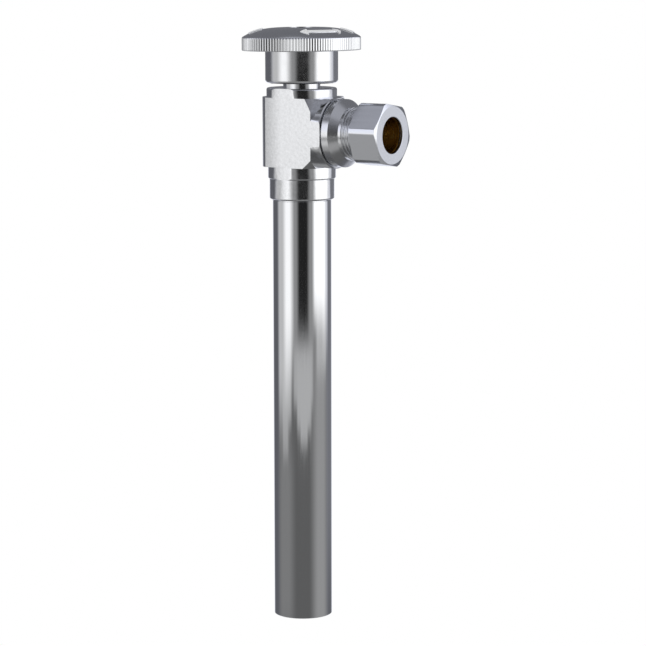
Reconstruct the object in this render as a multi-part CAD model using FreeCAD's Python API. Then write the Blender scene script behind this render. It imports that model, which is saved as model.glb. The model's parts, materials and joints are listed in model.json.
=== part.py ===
"""Quarter-turn angle valve with a straight inlet tube and a compression outlet.

A small supply stop for a tap. The inlet tube runs down, the outlet looks
along +X and the oval handle turns about +Z. Inside, a ball with an L-shaped
way turns between two plastic seats: its lower way always faces the inlet,
and its side way faces the outlet when the valve is open.

The origin is the centre of the inlet tube's lower end, +Z is up, and all
sizes are millimetres. The valve is shown open, with its nut hand tight.
"""
import FreeCAD, Part
import math
import os

Vec = FreeCAD.Vector
UP = Vec(0, 0, 1)
OUT = Vec(1, 0, 0)

# How far a cutting tool runs past the metal that it cuts
OVERRUN = 1.0

# Inlet tube
TUBE_OD = 15.875
TUBE_WALL = 0.71
TUBE_SHOWN = 114.9
TUBE_INSERTED = 9.5
TUBE_DEBURR = 0.15
TUBE_SIZING = 0.2375
TUBE_SIZED_SHOWN = 0.3

# Body, from its lower end upwards
CUP_R = 8.78
CUP_LENGTH = 5.3
CUP_LIP_FILLET = 0.5
CUP_CLEARANCE = 0.05
BEAD_STEP = 0.7
BEAD_FILLET = 0.35
BEAD_GROOVE_DEPTH = 0.15
BEAD_GROOVE_WIDTH = 0.3
LOWER_COLLAR_R = 9.18
LOWER_COLLAR_LENGTH = 2.9
BLOCK_HEIGHT = 18.6
BLOCK_R = 10.6
BLOCK_SHOULDER_X = 8.94
FLATS_WIDTH = 17.8
CORNER_R = 12.7
CORNER_TOP_R = 11.35
CORNER_TOP_DROP = 3.6
CORNER_FOOT_R = 10.9
CORNER_FOOT_RISE = 2.4
UPPER_COLLAR_R = 9.5
UPPER_COLLAR_HEIGHT = 2.5
UPPER_COLLAR_FILLET = 0.5
NECK_R = 5.0
NECK_HEIGHT = 4.6
BRANCH_R = 9.55
BRANCH_END_X = 11.9
EDGE_BREAK = 0.3

# Ball and seats
BALL_R = 5.2
BALL_WAY_R = 2.9
BALL_SLOT_WIDTH = 2.2
BALL_SLOT_DEPTH = 1.7
CAVITY_R = 5.95
SEAT_BORE_R = 3.2
SEAT_THICKNESS = 2.1
SEAT_FACE_X = 3.4
RUNNING_CLEARANCE = 0.04
STATIC_CLEARANCE = 0.03
INLET_WAY_R = 4.6

# Stem
STEM_R = 3.15
STEM_SHOULDER_R = 4.2
STEM_SHOULDER_HEIGHT = 1.1
STEM_POCKET_DEPTH = 7.9
WASHER_THICKNESS = 0.6
TANG_THICKNESS = 2.1
TANG_WIDTH = 5.2
TANG_END_CLEARANCE = 0.2
STEM_SQUARE = 5.0
STEM_SQUARE_LENGTH = 6.2
STEM_SQUARE_ROUND_R = 3.1
GROOVE_FLOOR_R = 2.1
GROOVE_WIDTH = 1.4
LOWER_RING_Z = 2.0
UPPER_RING_Z = 5.2

# Quarter-turn stops
QUARTER_TURN = 90.0
STOP_HEIGHT = 2.3
STOP_OUTER_R = 7.1
STOP_ANGLE = 26.0
STOP_GAP_ANGLE = 1.0
HANDLE_STOP_ANGLE = 30.0
HANDLE_STOP_REACH = 2.2
HANDLE_STOP_HEIGHT = 3.4

# Handle
HANDLE_GAP = 1.3
SKIRT_R = 9.8
SKIRT_HEIGHT = 8.7
SKIRT_WALL = 1.5
SKIRT_LIP_FILLET = 0.8
HUB_R = 4.9
HUB_GAP = 0.5
OVAL_LONG = 16.65
OVAL_SHORT = 12.6
OVAL_ANGLE = 60.0
RIM_HEIGHT = 3.7
RIM_WALL = 1.5
RIM_POCKET_DEPTH = 2.3
DOME_RISE = 2.45
DOME_INSET = 0.3
DOME_POWER = 4
DOME_SECTIONS = 8
KNURL_PITCH = 0.75
KNURL_DEPTH = 0.22
DOME_ROOF = 2.0
DRIVE_CLEARANCE = 0.05
SCREW_R = 1.75
SCREW_LENGTH = 6.5
SCREW_HEAD_R = 3.2
SCREW_HEAD_HEIGHT = 1.5
SCREW_POCKET_CLEARANCE = 0.35
SCREW_SEAT_DEPTH = 2.1
SCREW_CROSS_WIDTH = 0.8
SCREW_CROSS_SPAN = 3.4
SCREW_CROSS_DEPTH = 0.9

# Outlet adapter
ADAPTER_FLANGE_R = 9.1
ADAPTER_GAP_R = 8.2
ADAPTER_GAP_LENGTH = 0.4
ADAPTER_FLANGE_LENGTH = 2.2
ADAPTER_CONE_LENGTH = 2.0
ADAPTER_FLANGE_EDGE = 0.25
ADAPTER_SPIGOT_R = 7.3
ADAPTER_NOSE_GAP = 0.2
ADAPTER_RING_GROOVE_DEPTH = 1.1
ADAPTER_RING_GROOVE_WIDTH = 1.3
ADAPTER_RING_SETBACK = 1.2
THREAD_R = 7.14
THREAD_END_X = 24.4
ADAPTER_WAY_R = 3.2
SOCKET_DEPTH = 7.0

# Outlet tube connection
OUTLET_TUBE_OD = 9.525
OUTLET_CLEARANCE = 0.05
MOUTH_RISE = 1.1
MOUTH_LENGTH = 1.8
NUT_START_X = 20.7
NUT_LENGTH = 8.5
NUT_ACROSS_FLATS = 15.875
NUT_CORNER_R = 8.8
NUT_RAISED_ANGLE = 9.0
NUT_FACE_R = 7.65
NUT_CHAMFER_ANGLE = 15.0
NUT_BACK_R = 8.3
NUT_BACK_ANGLE = 30.0
NUT_THREAD_CLEARANCE = 0.06
NUT_LIP = 0.9
NUT_CONE_RISE = 1.1
FERRULE_RISE = 0.75
FERRULE_CLEARANCE = 0.06
FERRULE_NOSE_RISE = 0.2

# Heights and places that follow from the sizes above
TUBE_R = TUBE_OD / 2
TUBE_SIZED_R = TUBE_R - TUBE_SIZING
CUP_END_Z = TUBE_SHOWN
BEAD_Z = CUP_END_Z + CUP_LENGTH
COLLAR_Z = BEAD_Z + BEAD_STEP
BLOCK_Z = COLLAR_Z + LOWER_COLLAR_LENGTH
OUTLET_Z = BLOCK_Z + BLOCK_HEIGHT / 2
BLOCK_TOP_Z = BLOCK_Z + BLOCK_HEIGHT
COLLAR_TOP_Z = BLOCK_TOP_Z + UPPER_COLLAR_HEIGHT
NECK_TOP_Z = COLLAR_TOP_Z + NECK_HEIGHT
TUBE_TOP_Z = CUP_END_Z + TUBE_INSERTED
CAVITY_END_X = -(SEAT_FACE_X + SEAT_THICKNESS)
SPIGOT_FACE_X = SEAT_FACE_X + SEAT_THICKNESS
POCKET_ROOF_Z = OUTLET_Z + STEM_POCKET_DEPTH
SHOULDER_TOP_Z = POCKET_ROOF_Z - WASHER_THICKNESS
SHOULDER_Z = SHOULDER_TOP_Z - STEM_SHOULDER_HEIGHT
SLOT_FLOOR_Z = OUTLET_Z + BALL_R - BALL_SLOT_DEPTH
STEM_BORE_R = STEM_R + RUNNING_CLEARANCE
SKIRT_Z = COLLAR_TOP_Z + HANDLE_GAP
RIM_Z = SKIRT_Z + SKIRT_HEIGHT
RIM_TOP_Z = RIM_Z + RIM_HEIGHT
DOME_TOP_Z = RIM_TOP_Z + DOME_RISE
HUB_Z = NECK_TOP_Z + HUB_GAP
SQUARE_Z = NECK_TOP_Z + HUB_GAP / 2
STEM_TOP_Z = SQUARE_Z + STEM_SQUARE_LENGTH
ROOF_Z = DOME_TOP_Z - SCREW_SEAT_DEPTH - DOME_ROOF
SCREW_SEAT_Z = DOME_TOP_Z - SCREW_SEAT_DEPTH
OUTLET_BORE_R = OUTLET_TUBE_OD / 2 + OUTLET_CLEARANCE
NUT_END_X = NUT_START_X + NUT_LENGTH
NUT_LIP_X = NUT_END_X - NUT_LIP
NUT_BORE_R = THREAD_R + NUT_THREAD_CLEARANCE
OUTLET_CENTRE = Vec(0, 0, OUTLET_Z)


def lathe(points, axis, centre=Vec(0, 0, 0)):
    """Turn an outline of (radius, distance along the axis) pairs a full circle."""
    side = OUT if axis == UP else UP
    corners = [centre + side * r + axis * d for r, d in points]
    face = Part.Face(Part.makePolygon(corners + corners[:1]))
    return face.revolve(centre, axis, 360)


def rod(r, low, high, axis=UP, centre=Vec(0, 0, 0)):
    """A plain cylinder between two places on its axis."""
    return Part.makeCylinder(r, high - low, centre + axis * low, axis)


def outlet_rod(r, low, high):
    """A plain cylinder on the outlet's axis."""
    return rod(r, low, high, OUT, OUTLET_CENTRE)


def outlet_lathe(points):
    """A turned piece on the outlet's axis."""
    return lathe(points, OUT, OUTLET_CENTRE)


def ring_seal(floor_r, wall_r, place, axis, centre=Vec(0, 0, 0)):
    """A round-section seal between a groove's floor and the wall round it."""
    section_r = (wall_r - floor_r) / 2 - STATIC_CLEARANCE
    middle_r = (wall_r + floor_r) / 2
    return Part.makeTorus(middle_r, section_r, centre + axis * place, axis)


def sector(inner_r, outer_r, low, high, start, sweep):
    """A piece of a ring about +Z, from the start angle through the sweep, in degrees."""
    outer = Part.makeCylinder(outer_r, high - low, Vec(0, 0, low), UP, sweep)
    outer.rotate(Vec(0, 0, 0), UP, start)
    return outer.cut(rod(inner_r, low, high))


def circles(shape, radius, centre):
    """The round edges with a given radius and centre."""
    found = []
    for edge in shape.Edges:
        curve = edge.Curve
        if isinstance(curve, Part.Circle) and abs(curve.Radius - radius) < 1e-4:
            if curve.Center.distanceToPoint(centre) < 1e-4:
                found.append(edge)
    return found


def body_block():
    """The block: a turned back, two flats, and a square shoulder with turned corners."""
    half = FLATS_WIDTH / 2
    back_x = -math.sqrt(BLOCK_R**2 - half**2)
    left = Vec(back_x, half, BLOCK_Z)
    right = Vec(back_x, -half, BLOCK_Z)
    back = Part.Arc(left, Vec(-BLOCK_R, 0, BLOCK_Z), right).toShape()
    lower = Vec(BLOCK_SHOULDER_X, -half, BLOCK_Z)
    upper = Vec(BLOCK_SHOULDER_X, half, BLOCK_Z)
    wire = Part.Wire([back, Part.makeLine(right, lower), Part.makeLine(lower, upper),
                      Part.makeLine(upper, left)])
    block = Part.Face(wire).extrude(UP * BLOCK_HEIGHT)
    turned = lathe([(0, BLOCK_Z), (CORNER_FOOT_R, BLOCK_Z), (CORNER_R, BLOCK_Z + CORNER_FOOT_RISE),
                    (CORNER_R, BLOCK_TOP_Z - CORNER_TOP_DROP), (CORNER_TOP_R, BLOCK_TOP_Z),
                    (0, BLOCK_TOP_Z)], UP)
    return block.common(turned)


def body_outside():
    """The block with its collars, neck, cup and branch, before it is bored."""
    cup = rod(CUP_R, CUP_END_Z, BLOCK_Z)
    cup = cup.makeFillet(CUP_LIP_FILLET, circles(cup, CUP_R, Vec(0, 0, CUP_END_Z)))
    lower = rod(LOWER_COLLAR_R, BEAD_Z + BEAD_GROOVE_WIDTH, BLOCK_Z + EDGE_BREAK)
    foot_edge = circles(lower, LOWER_COLLAR_R, Vec(0, 0, BEAD_Z + BEAD_GROOVE_WIDTH))
    lower = lower.makeFillet(BEAD_FILLET, foot_edge)
    groove = rod(CUP_R + OVERRUN, BEAD_Z, BEAD_Z + BEAD_GROOVE_WIDTH)
    groove = groove.cut(rod(CUP_R - BEAD_GROOVE_DEPTH, BEAD_Z, BEAD_Z + BEAD_GROOVE_WIDTH))
    upper = rod(UPPER_COLLAR_R, BLOCK_TOP_Z - EDGE_BREAK, COLLAR_TOP_Z)
    top_edge = circles(upper, UPPER_COLLAR_R, Vec(0, 0, COLLAR_TOP_Z))
    upper = upper.makeFillet(UPPER_COLLAR_FILLET, top_edge)
    branch = outlet_rod(BRANCH_R, 0, BRANCH_END_X)
    mouth = circles(branch, BRANCH_R, OUTLET_CENTRE + OUT * BRANCH_END_X)
    branch = branch.makeChamfer(EDGE_BREAK, mouth)
    solid = body_block().multiFuse([cup.cut(groove), lower, upper, branch])
    half = FLATS_WIDTH / 2
    reach = 2 * CORNER_R
    tall = COLLAR_TOP_Z - CUP_END_Z
    for low_y in (half, -half - reach):
        waste = Part.makeBox(2 * reach, reach, tall, Vec(-reach, low_y, CUP_END_Z))
        solid = solid.cut(waste)
    neck = rod(NECK_R, COLLAR_TOP_Z - EDGE_BREAK, NECK_TOP_Z)
    return solid.fuse(neck)


def body_stops():
    """Two lugs on the neck that the handle's lug meets at each end of its quarter turn."""
    low = NECK_TOP_Z - STOP_HEIGHT
    centre = handle_stop_centre()
    open_face = centre + HANDLE_STOP_ANGLE / 2 + STOP_GAP_ANGLE
    shut_face = centre - QUARTER_TURN - HANDLE_STOP_ANGLE / 2 - STOP_GAP_ANGLE
    inner = NECK_R - EDGE_BREAK
    opening = sector(inner, STOP_OUTER_R, low, NECK_TOP_Z, open_face, STOP_ANGLE)
    closing = sector(inner, STOP_OUTER_R, low, NECK_TOP_Z, shut_face - STOP_ANGLE, STOP_ANGLE)
    return opening.fuse(closing)


def handle_stop_centre():
    """The angle of the handle's lug with the valve open, over the back of the body."""
    return 180 + QUARTER_TURN / 2


def body():
    """The body, bored for the tube, the ball, the stem and the outlet adapter."""
    solid = body_outside().fuse(body_stops())
    cup_bore = rod(TUBE_SIZED_R + CUP_CLEARANCE, CUP_END_Z - OVERRUN, TUBE_TOP_Z)
    inlet = rod(INLET_WAY_R, TUBE_TOP_Z - OVERRUN, OUTLET_Z)
    branch_end = BRANCH_END_X + OVERRUN
    cavity = outlet_rod(CAVITY_R, CAVITY_END_X, branch_end)
    thread = outlet_rod(ADAPTER_SPIGOT_R + CUP_CLEARANCE, SPIGOT_FACE_X - ADAPTER_NOSE_GAP, branch_end)
    pocket = rod(STEM_SHOULDER_R + CUP_CLEARANCE, OUTLET_Z, POCKET_ROOF_Z)
    stem_bore = rod(STEM_BORE_R, OUTLET_Z, NECK_TOP_Z + OVERRUN)
    return solid.cut(cup_bore.multiFuse([inlet, cavity, thread, pocket, stem_bore]))


def extension_tube():
    """The straight inlet tube: its lower inside edge reamed, its upper end sized down for the cup."""
    inner = TUBE_R - TUBE_WALL
    sized_z = CUP_END_Z - TUBE_SIZED_SHOWN
    outline = [(inner + TUBE_DEBURR, 0), (TUBE_R, 0), (TUBE_R, sized_z), (TUBE_SIZED_R, sized_z),
               (TUBE_SIZED_R, TUBE_TOP_Z), (inner, TUBE_TOP_Z), (inner, TUBE_DEBURR)]
    return lathe(outline, UP)


def ball():
    """The ball: one way down to the inlet, one way to the outlet and a slot for the stem."""
    solid = Part.makeSphere(BALL_R, OUTLET_CENTRE)
    down = rod(BALL_WAY_R, -BALL_R - OVERRUN, 0, UP, OUTLET_CENTRE)
    across = outlet_rod(BALL_WAY_R, 0, BALL_R + OVERRUN)
    elbow = Part.makeSphere(BALL_WAY_R, OUTLET_CENTRE)
    corner = Vec(-BALL_SLOT_WIDTH / 2, -BALL_R, SLOT_FLOOR_Z)
    slot = Part.makeBox(BALL_SLOT_WIDTH, 2 * BALL_R, BALL_R, corner)
    return solid.cut(down.multiFuse([across, elbow, slot]))


def seat(side):
    """A plastic ring on one side of the ball, hollowed to the ball's curve."""
    low = SEAT_FACE_X
    high = SEAT_FACE_X + SEAT_THICKNESS
    outer = CAVITY_R - STATIC_CLEARANCE
    ring = outlet_lathe([(SEAT_BORE_R, low), (outer, low), (outer, high), (SEAT_BORE_R, high)])
    ring = ring.cut(Part.makeSphere(BALL_R + RUNNING_CLEARANCE, OUTLET_CENTRE))
    if side < 0:
        ring.rotate(OUTLET_CENTRE, UP, 180)
    return ring


def stem():
    """The stem: a tang in the ball's slot, a shoulder, two seal grooves and a square top."""
    shaft = lathe([(0, SHOULDER_Z), (STEM_SHOULDER_R, SHOULDER_Z), (STEM_SHOULDER_R, SHOULDER_TOP_Z),
                   (STEM_R, SHOULDER_TOP_Z), (STEM_R, SQUARE_Z), (0, SQUARE_Z)], UP)
    for middle in ring_heights():
        low = middle - GROOVE_WIDTH / 2
        wall_r = STEM_R + OVERRUN
        groove = lathe([(GROOVE_FLOOR_R, low), (wall_r, low), (wall_r, low + GROOVE_WIDTH),
                        (GROOVE_FLOOR_R, low + GROOVE_WIDTH)], UP)
        shaft = shaft.cut(groove)
    tang_low = SLOT_FLOOR_Z + TANG_END_CLEARANCE
    tang = Part.makeBox(TANG_THICKNESS, TANG_WIDTH, SHOULDER_Z - tang_low,
                        Vec(-TANG_THICKNESS / 2, -TANG_WIDTH / 2, tang_low))
    square = square_bar(STEM_SQUARE, STEM_SQUARE_ROUND_R, SQUARE_Z, STEM_TOP_Z)
    hole = rod(SCREW_R, screw_tip_z(), STEM_TOP_Z + OVERRUN)
    return shaft.multiFuse([tang, square]).cut(hole)


def ring_heights():
    """The middle heights of the two seals on the stem."""
    return [POCKET_ROOF_Z + LOWER_RING_Z, POCKET_ROOF_Z + UPPER_RING_Z]


def square_bar(width, round_r, low, high):
    """A square bar with turned corners, its sides across the handle's long axis."""
    bar = Part.makeBox(width, width, high - low, Vec(-width / 2, -width / 2, low))
    bar = bar.common(rod(round_r, low, high))
    bar.rotate(Vec(0, 0, 0), UP, OVAL_ANGLE)
    return bar


def stem_ring(middle):
    """A seal in a groove of the stem."""
    return ring_seal(GROOVE_FLOOR_R, STEM_BORE_R, middle, UP)


def stem_washer():
    """The plastic washer between the stem's shoulder and the body."""
    bore = STEM_BORE_R
    outer = STEM_SHOULDER_R
    return lathe([(bore, SHOULDER_TOP_Z), (outer, SHOULDER_TOP_Z), (outer, POCKET_ROOF_Z),
                  (bore, POCKET_ROOF_Z)], UP)


def oval_prism(long_half, short_half, low, high):
    """A plain oval bar along +Z."""
    edge = Part.Ellipse(Vec(0, 0, low), long_half, short_half).toShape()
    return Part.Face(Part.Wire([edge])).extrude(UP * (high - low))


def knurled_rim():
    """The rim as an oval bar with even ridges round it, each with one crest and one root."""
    edge = Part.Ellipse(Vec(0, 0, 0), OVAL_LONG, OVAL_SHORT).toShape()
    ridges = round(edge.Length / KNURL_PITCH)
    corners = []
    for step, place in enumerate(edge.discretize(Number=2 * ridges + 1)[:-1]):
        turn = math.atan2(place.y / OVAL_SHORT, place.x / OVAL_LONG)
        inset = KNURL_DEPTH * (step % 2)
        x = (OVAL_LONG - inset) * math.cos(turn)
        y = (OVAL_SHORT - inset) * math.sin(turn)
        corners.append(Vec(x, y, RIM_Z))
    return Part.Face(Part.makePolygon(corners + corners[:1])).extrude(UP * RIM_HEIGHT)


def dome_height(share):
    """The dome's height above its foot where the oval has shrunk to a share of the foot's."""
    return DOME_RISE * (1 - share**DOME_POWER)


def oval_dome():
    """A dome of shrinking ovals that stands on the rim and ends flat at the screw's pocket."""
    long_foot = OVAL_LONG - DOME_INSET
    short_foot = OVAL_SHORT - DOME_INSET
    crown_share = SCREW_HEAD_R / long_foot
    wires = []
    for step in range(DOME_SECTIONS):
        share = 1 - (1 - crown_share) * step / (DOME_SECTIONS - 1)
        centre = Vec(0, 0, RIM_TOP_Z + dome_height(share))
        oval = Part.Ellipse(centre, long_foot * share, short_foot * share)
        wires.append(Part.Wire([oval.toShape()]))
    return Part.makeLoft(wires, True)


def handle():
    """The handle: knurled oval head, skirt, hub with a square socket and a stop lug."""
    head = knurled_rim().fuse(oval_dome())
    pocket_z = RIM_Z + RIM_POCKET_DEPTH
    pocket = oval_prism(OVAL_LONG - RIM_WALL, OVAL_SHORT - RIM_WALL, RIM_Z - OVERRUN, pocket_z)
    pocket = pocket.cut(rod(SKIRT_R, RIM_Z - OVERRUN, pocket_z))
    head = head.cut(pocket)
    head.rotate(Vec(0, 0, 0), UP, OVAL_ANGLE)
    skirt = rod(SKIRT_R, SKIRT_Z, pocket_z)
    skirt = skirt.makeFillet(SKIRT_LIP_FILLET, circles(skirt, SKIRT_R, Vec(0, 0, SKIRT_Z)))
    inner_r = SKIRT_R - SKIRT_WALL
    hollow = rod(inner_r, SKIRT_Z - OVERRUN, ROOF_Z).cut(rod(HUB_R, HUB_Z, ROOF_Z))
    centre = handle_stop_centre()
    lug = sector(inner_r - HANDLE_STOP_REACH, inner_r + EDGE_BREAK, NECK_TOP_Z - HANDLE_STOP_HEIGHT,
                 ROOF_Z + EDGE_BREAK, centre - HANDLE_STOP_ANGLE / 2, HANDLE_STOP_ANGLE)
    socket = square_bar(STEM_SQUARE + 2 * DRIVE_CLEARANCE, STEM_SQUARE_ROUND_R + DRIVE_CLEARANCE,
                        HUB_Z - OVERRUN, STEM_TOP_Z + DRIVE_CLEARANCE)
    counterbore = rod(SCREW_HEAD_R + SCREW_POCKET_CLEARANCE, SCREW_SEAT_Z, DOME_TOP_Z + OVERRUN)
    hole = rod(SCREW_R + DRIVE_CLEARANCE, HUB_Z, SCREW_SEAT_Z + OVERRUN)
    solid = head.fuse(skirt).cut(hollow).fuse(lug)
    return solid.cut(socket.multiFuse([counterbore, hole]))


def screw_tip_z():
    """The height of the handle screw's tip."""
    return SCREW_SEAT_Z - SCREW_LENGTH


def handle_screw():
    """The handle's cross-recessed screw."""
    top = SCREW_SEAT_Z + SCREW_HEAD_HEIGHT
    outline = [(0, screw_tip_z()), (SCREW_R - STATIC_CLEARANCE, screw_tip_z()),
               (SCREW_R - STATIC_CLEARANCE, SCREW_SEAT_Z), (SCREW_HEAD_R, SCREW_SEAT_Z),
               (SCREW_HEAD_R, top - EDGE_BREAK), (SCREW_HEAD_R - EDGE_BREAK, top), (0, top)]
    solid = lathe(outline, UP)
    low = top - SCREW_CROSS_DEPTH
    long_side = SCREW_CROSS_SPAN
    short_side = SCREW_CROSS_WIDTH
    for x_side, y_side in ((long_side, short_side), (short_side, long_side)):
        corner = Vec(-x_side / 2, -y_side / 2, low)
        solid = solid.cut(Part.makeBox(x_side, y_side, 2 * SCREW_CROSS_DEPTH, corner))
    return solid


def adapter_places():
    """The places along the outlet where the adapter's outline turns."""
    flange_start = BRANCH_END_X + ADAPTER_GAP_LENGTH
    flange_end = flange_start + ADAPTER_FLANGE_LENGTH
    cone_end = flange_end + ADAPTER_CONE_LENGTH
    socket_floor = THREAD_END_X - SOCKET_DEPTH
    return flange_start, flange_end, cone_end, socket_floor


def outlet_adapter():
    """The screwed-in outlet: spigot, round flange, cone, outside thread and tube socket."""
    flange_start, flange_end, cone_end, socket_floor = adapter_places()
    edge = ADAPTER_FLANGE_EDGE
    outline = [(ADAPTER_WAY_R, SPIGOT_FACE_X), (ADAPTER_SPIGOT_R, SPIGOT_FACE_X),
               (ADAPTER_SPIGOT_R, BRANCH_END_X), (ADAPTER_GAP_R, BRANCH_END_X),
               (ADAPTER_GAP_R, flange_start), (ADAPTER_FLANGE_R - edge, flange_start),
               (ADAPTER_FLANGE_R, flange_start + edge), (ADAPTER_FLANGE_R, flange_end),
               (THREAD_R, cone_end), (THREAD_R, THREAD_END_X - edge), (THREAD_R - edge, THREAD_END_X),
               (OUTLET_BORE_R + MOUTH_RISE, THREAD_END_X), (OUTLET_BORE_R, THREAD_END_X - MOUTH_LENGTH),
               (OUTLET_BORE_R, socket_floor), (ADAPTER_WAY_R, socket_floor)]
    solid = outlet_lathe(outline)
    middle = adapter_ring_x()
    low = middle - ADAPTER_RING_GROOVE_WIDTH / 2
    high = middle + ADAPTER_RING_GROOVE_WIDTH / 2
    floor_r = ADAPTER_SPIGOT_R - ADAPTER_RING_GROOVE_DEPTH
    wall_r = ADAPTER_SPIGOT_R + OVERRUN
    groove = outlet_lathe([(floor_r, low), (wall_r, low), (wall_r, high), (floor_r, high)])
    return solid.cut(groove)


def adapter_ring_x():
    """The place of the adapter's seal along the outlet."""
    return BRANCH_END_X - ADAPTER_RING_SETBACK


def adapter_ring():
    """The seal round the adapter's spigot."""
    floor_r = ADAPTER_SPIGOT_R - ADAPTER_RING_GROOVE_DEPTH
    wall_r = ADAPTER_SPIGOT_R + CUP_CLEARANCE
    return ring_seal(floor_r, wall_r, adapter_ring_x(), OUT, OUTLET_CENTRE)


def nut_cone_x():
    """Where the nut's inner cone starts."""
    return NUT_LIP_X - NUT_CONE_RISE


def compression_nut():
    """The hexagon nut: turned corners and ends, a threaded bore and a cone for the ferrule."""
    across_corners = NUT_ACROSS_FLATS / math.cos(math.radians(30))
    corners = []
    for step in range(6):
        turn = math.radians(180 - NUT_RAISED_ANGLE + 60 * step)
        corner = Vec(0, math.cos(turn), math.sin(turn)) * (across_corners / 2)
        corners.append(OUTLET_CENTRE + corner + OUT * NUT_START_X)
    bar = Part.Face(Part.makePolygon(corners + corners[:1])).extrude(OUT * NUT_LENGTH)
    drop = (NUT_CORNER_R - NUT_FACE_R) * math.tan(math.radians(NUT_CHAMFER_ANGLE))
    back_drop = (NUT_CORNER_R - NUT_BACK_R) * math.tan(math.radians(NUT_BACK_ANGLE))
    rounded = outlet_lathe([(0, NUT_START_X), (NUT_BACK_R, NUT_START_X),
                            (NUT_CORNER_R, NUT_START_X + back_drop), (NUT_CORNER_R, NUT_END_X - drop),
                            (NUT_FACE_R, NUT_END_X), (0, NUT_END_X)])
    low = NUT_START_X - OVERRUN
    high = NUT_END_X + OVERRUN
    bore = outlet_lathe([(0, low), (NUT_BORE_R, low), (NUT_BORE_R, nut_cone_x()),
                         (OUTLET_BORE_R + NUT_CONE_RISE, nut_cone_x()), (OUTLET_BORE_R, NUT_LIP_X),
                         (OUTLET_BORE_R, high), (0, high)])
    return bar.common(rounded).cut(bore)


def ferrule():
    """The brass ferrule, tapered at both ends, between the adapter's mouth and the nut."""
    outer = OUTLET_BORE_R + FERRULE_RISE
    nose = OUTLET_BORE_R + FERRULE_NOSE_RISE
    mouth_slope = MOUTH_LENGTH / MOUTH_RISE
    mouth_x = THREAD_END_X - MOUTH_LENGTH
    nose_x = mouth_x + mouth_slope * FERRULE_NOSE_RISE + FERRULE_CLEARANCE * mouth_slope
    taper_x = mouth_x + mouth_slope * FERRULE_RISE + FERRULE_CLEARANCE * mouth_slope
    tail_x = NUT_LIP_X - FERRULE_NOSE_RISE - FERRULE_CLEARANCE
    cone_x = NUT_LIP_X - FERRULE_RISE - FERRULE_CLEARANCE
    return outlet_lathe([(OUTLET_BORE_R, nose_x), (nose, nose_x), (outer, taper_x), (outer, cone_x),
                         (nose, tail_x), (OUTLET_BORE_R, tail_x)])


def all_parts():
    """Every piece by its node name."""
    lower_ring, upper_ring = ring_heights()
    return {
        "body": body(),
        "extension_tube": extension_tube(),
        "ball": ball(),
        "back_seat": seat(-1),
        "outlet_seat": seat(1),
        "stem": stem(),
        "stem_thrust_washer": stem_washer(),
        "stem_seal_lower": stem_ring(lower_ring),
        "stem_seal_upper": stem_ring(upper_ring),
        "handle": handle(),
        "handle_screw": handle_screw(),
        "outlet_adapter": outlet_adapter(),
        "adapter_seal": adapter_ring(),
        "compression_nut": compression_nut(),
        "ferrule": ferrule(),
    }


os.makedirs("parts", exist_ok=True)
for name, shape in all_parts().items():
    if shape.ShapeType == "Compound" and len(shape.Solids) == 1:
        shape = shape.Solids[0]
    print(name, shape.ShapeType, len(shape.Solids), shape.isValid(), round(shape.Volume, 2))
    shape.exportStep("parts/" + name + ".step")
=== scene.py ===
import bmesh
import bpy
import json
import math
import numpy as np
from mathutils import Matrix, Vector

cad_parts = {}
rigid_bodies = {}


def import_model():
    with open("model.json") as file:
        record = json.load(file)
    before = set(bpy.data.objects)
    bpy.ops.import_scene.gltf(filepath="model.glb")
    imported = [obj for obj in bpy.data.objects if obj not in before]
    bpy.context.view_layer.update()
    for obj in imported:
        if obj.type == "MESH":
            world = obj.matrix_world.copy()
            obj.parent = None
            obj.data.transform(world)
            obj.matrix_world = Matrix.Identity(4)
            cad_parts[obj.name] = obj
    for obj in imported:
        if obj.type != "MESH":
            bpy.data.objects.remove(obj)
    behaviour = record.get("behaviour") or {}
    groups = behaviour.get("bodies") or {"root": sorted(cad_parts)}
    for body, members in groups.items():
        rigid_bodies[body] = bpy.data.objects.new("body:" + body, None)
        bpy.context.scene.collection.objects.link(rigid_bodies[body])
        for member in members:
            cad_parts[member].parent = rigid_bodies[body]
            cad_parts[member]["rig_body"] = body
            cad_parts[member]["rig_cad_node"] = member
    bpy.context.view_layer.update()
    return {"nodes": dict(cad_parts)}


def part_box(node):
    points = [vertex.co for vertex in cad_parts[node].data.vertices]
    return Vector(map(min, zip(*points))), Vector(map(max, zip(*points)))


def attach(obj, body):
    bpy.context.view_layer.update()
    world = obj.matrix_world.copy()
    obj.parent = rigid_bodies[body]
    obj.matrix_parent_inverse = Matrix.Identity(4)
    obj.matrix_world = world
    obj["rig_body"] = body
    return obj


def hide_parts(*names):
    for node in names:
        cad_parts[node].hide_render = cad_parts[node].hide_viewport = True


bl_info = {
    "name": "Angle valve dressing",
    "version": (1, 0, 0),
    "blender": (4, 5, 0),
    "location": "3D View > Sidebar > Valve",
    "description": "Plated surfaces, threads, knurl and studio for a quarter-turn angle valve",
    "category": "Object",
}

# The frame gives the places of the pieces, in metres
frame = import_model()
MM = 0.001
CLOSE = 1e-6
TINY = 1e-12
UP = np.array([0.0, 0.0, 1.0])
OUT = np.array([1.0, 0.0, 0.0])


def edge_of(node, axis, high):
    """One side of a node's box, in millimetres: axis 0 to 2, and the high or the low side."""
    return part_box(node)[1 if high else 0][axis] / MM


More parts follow.
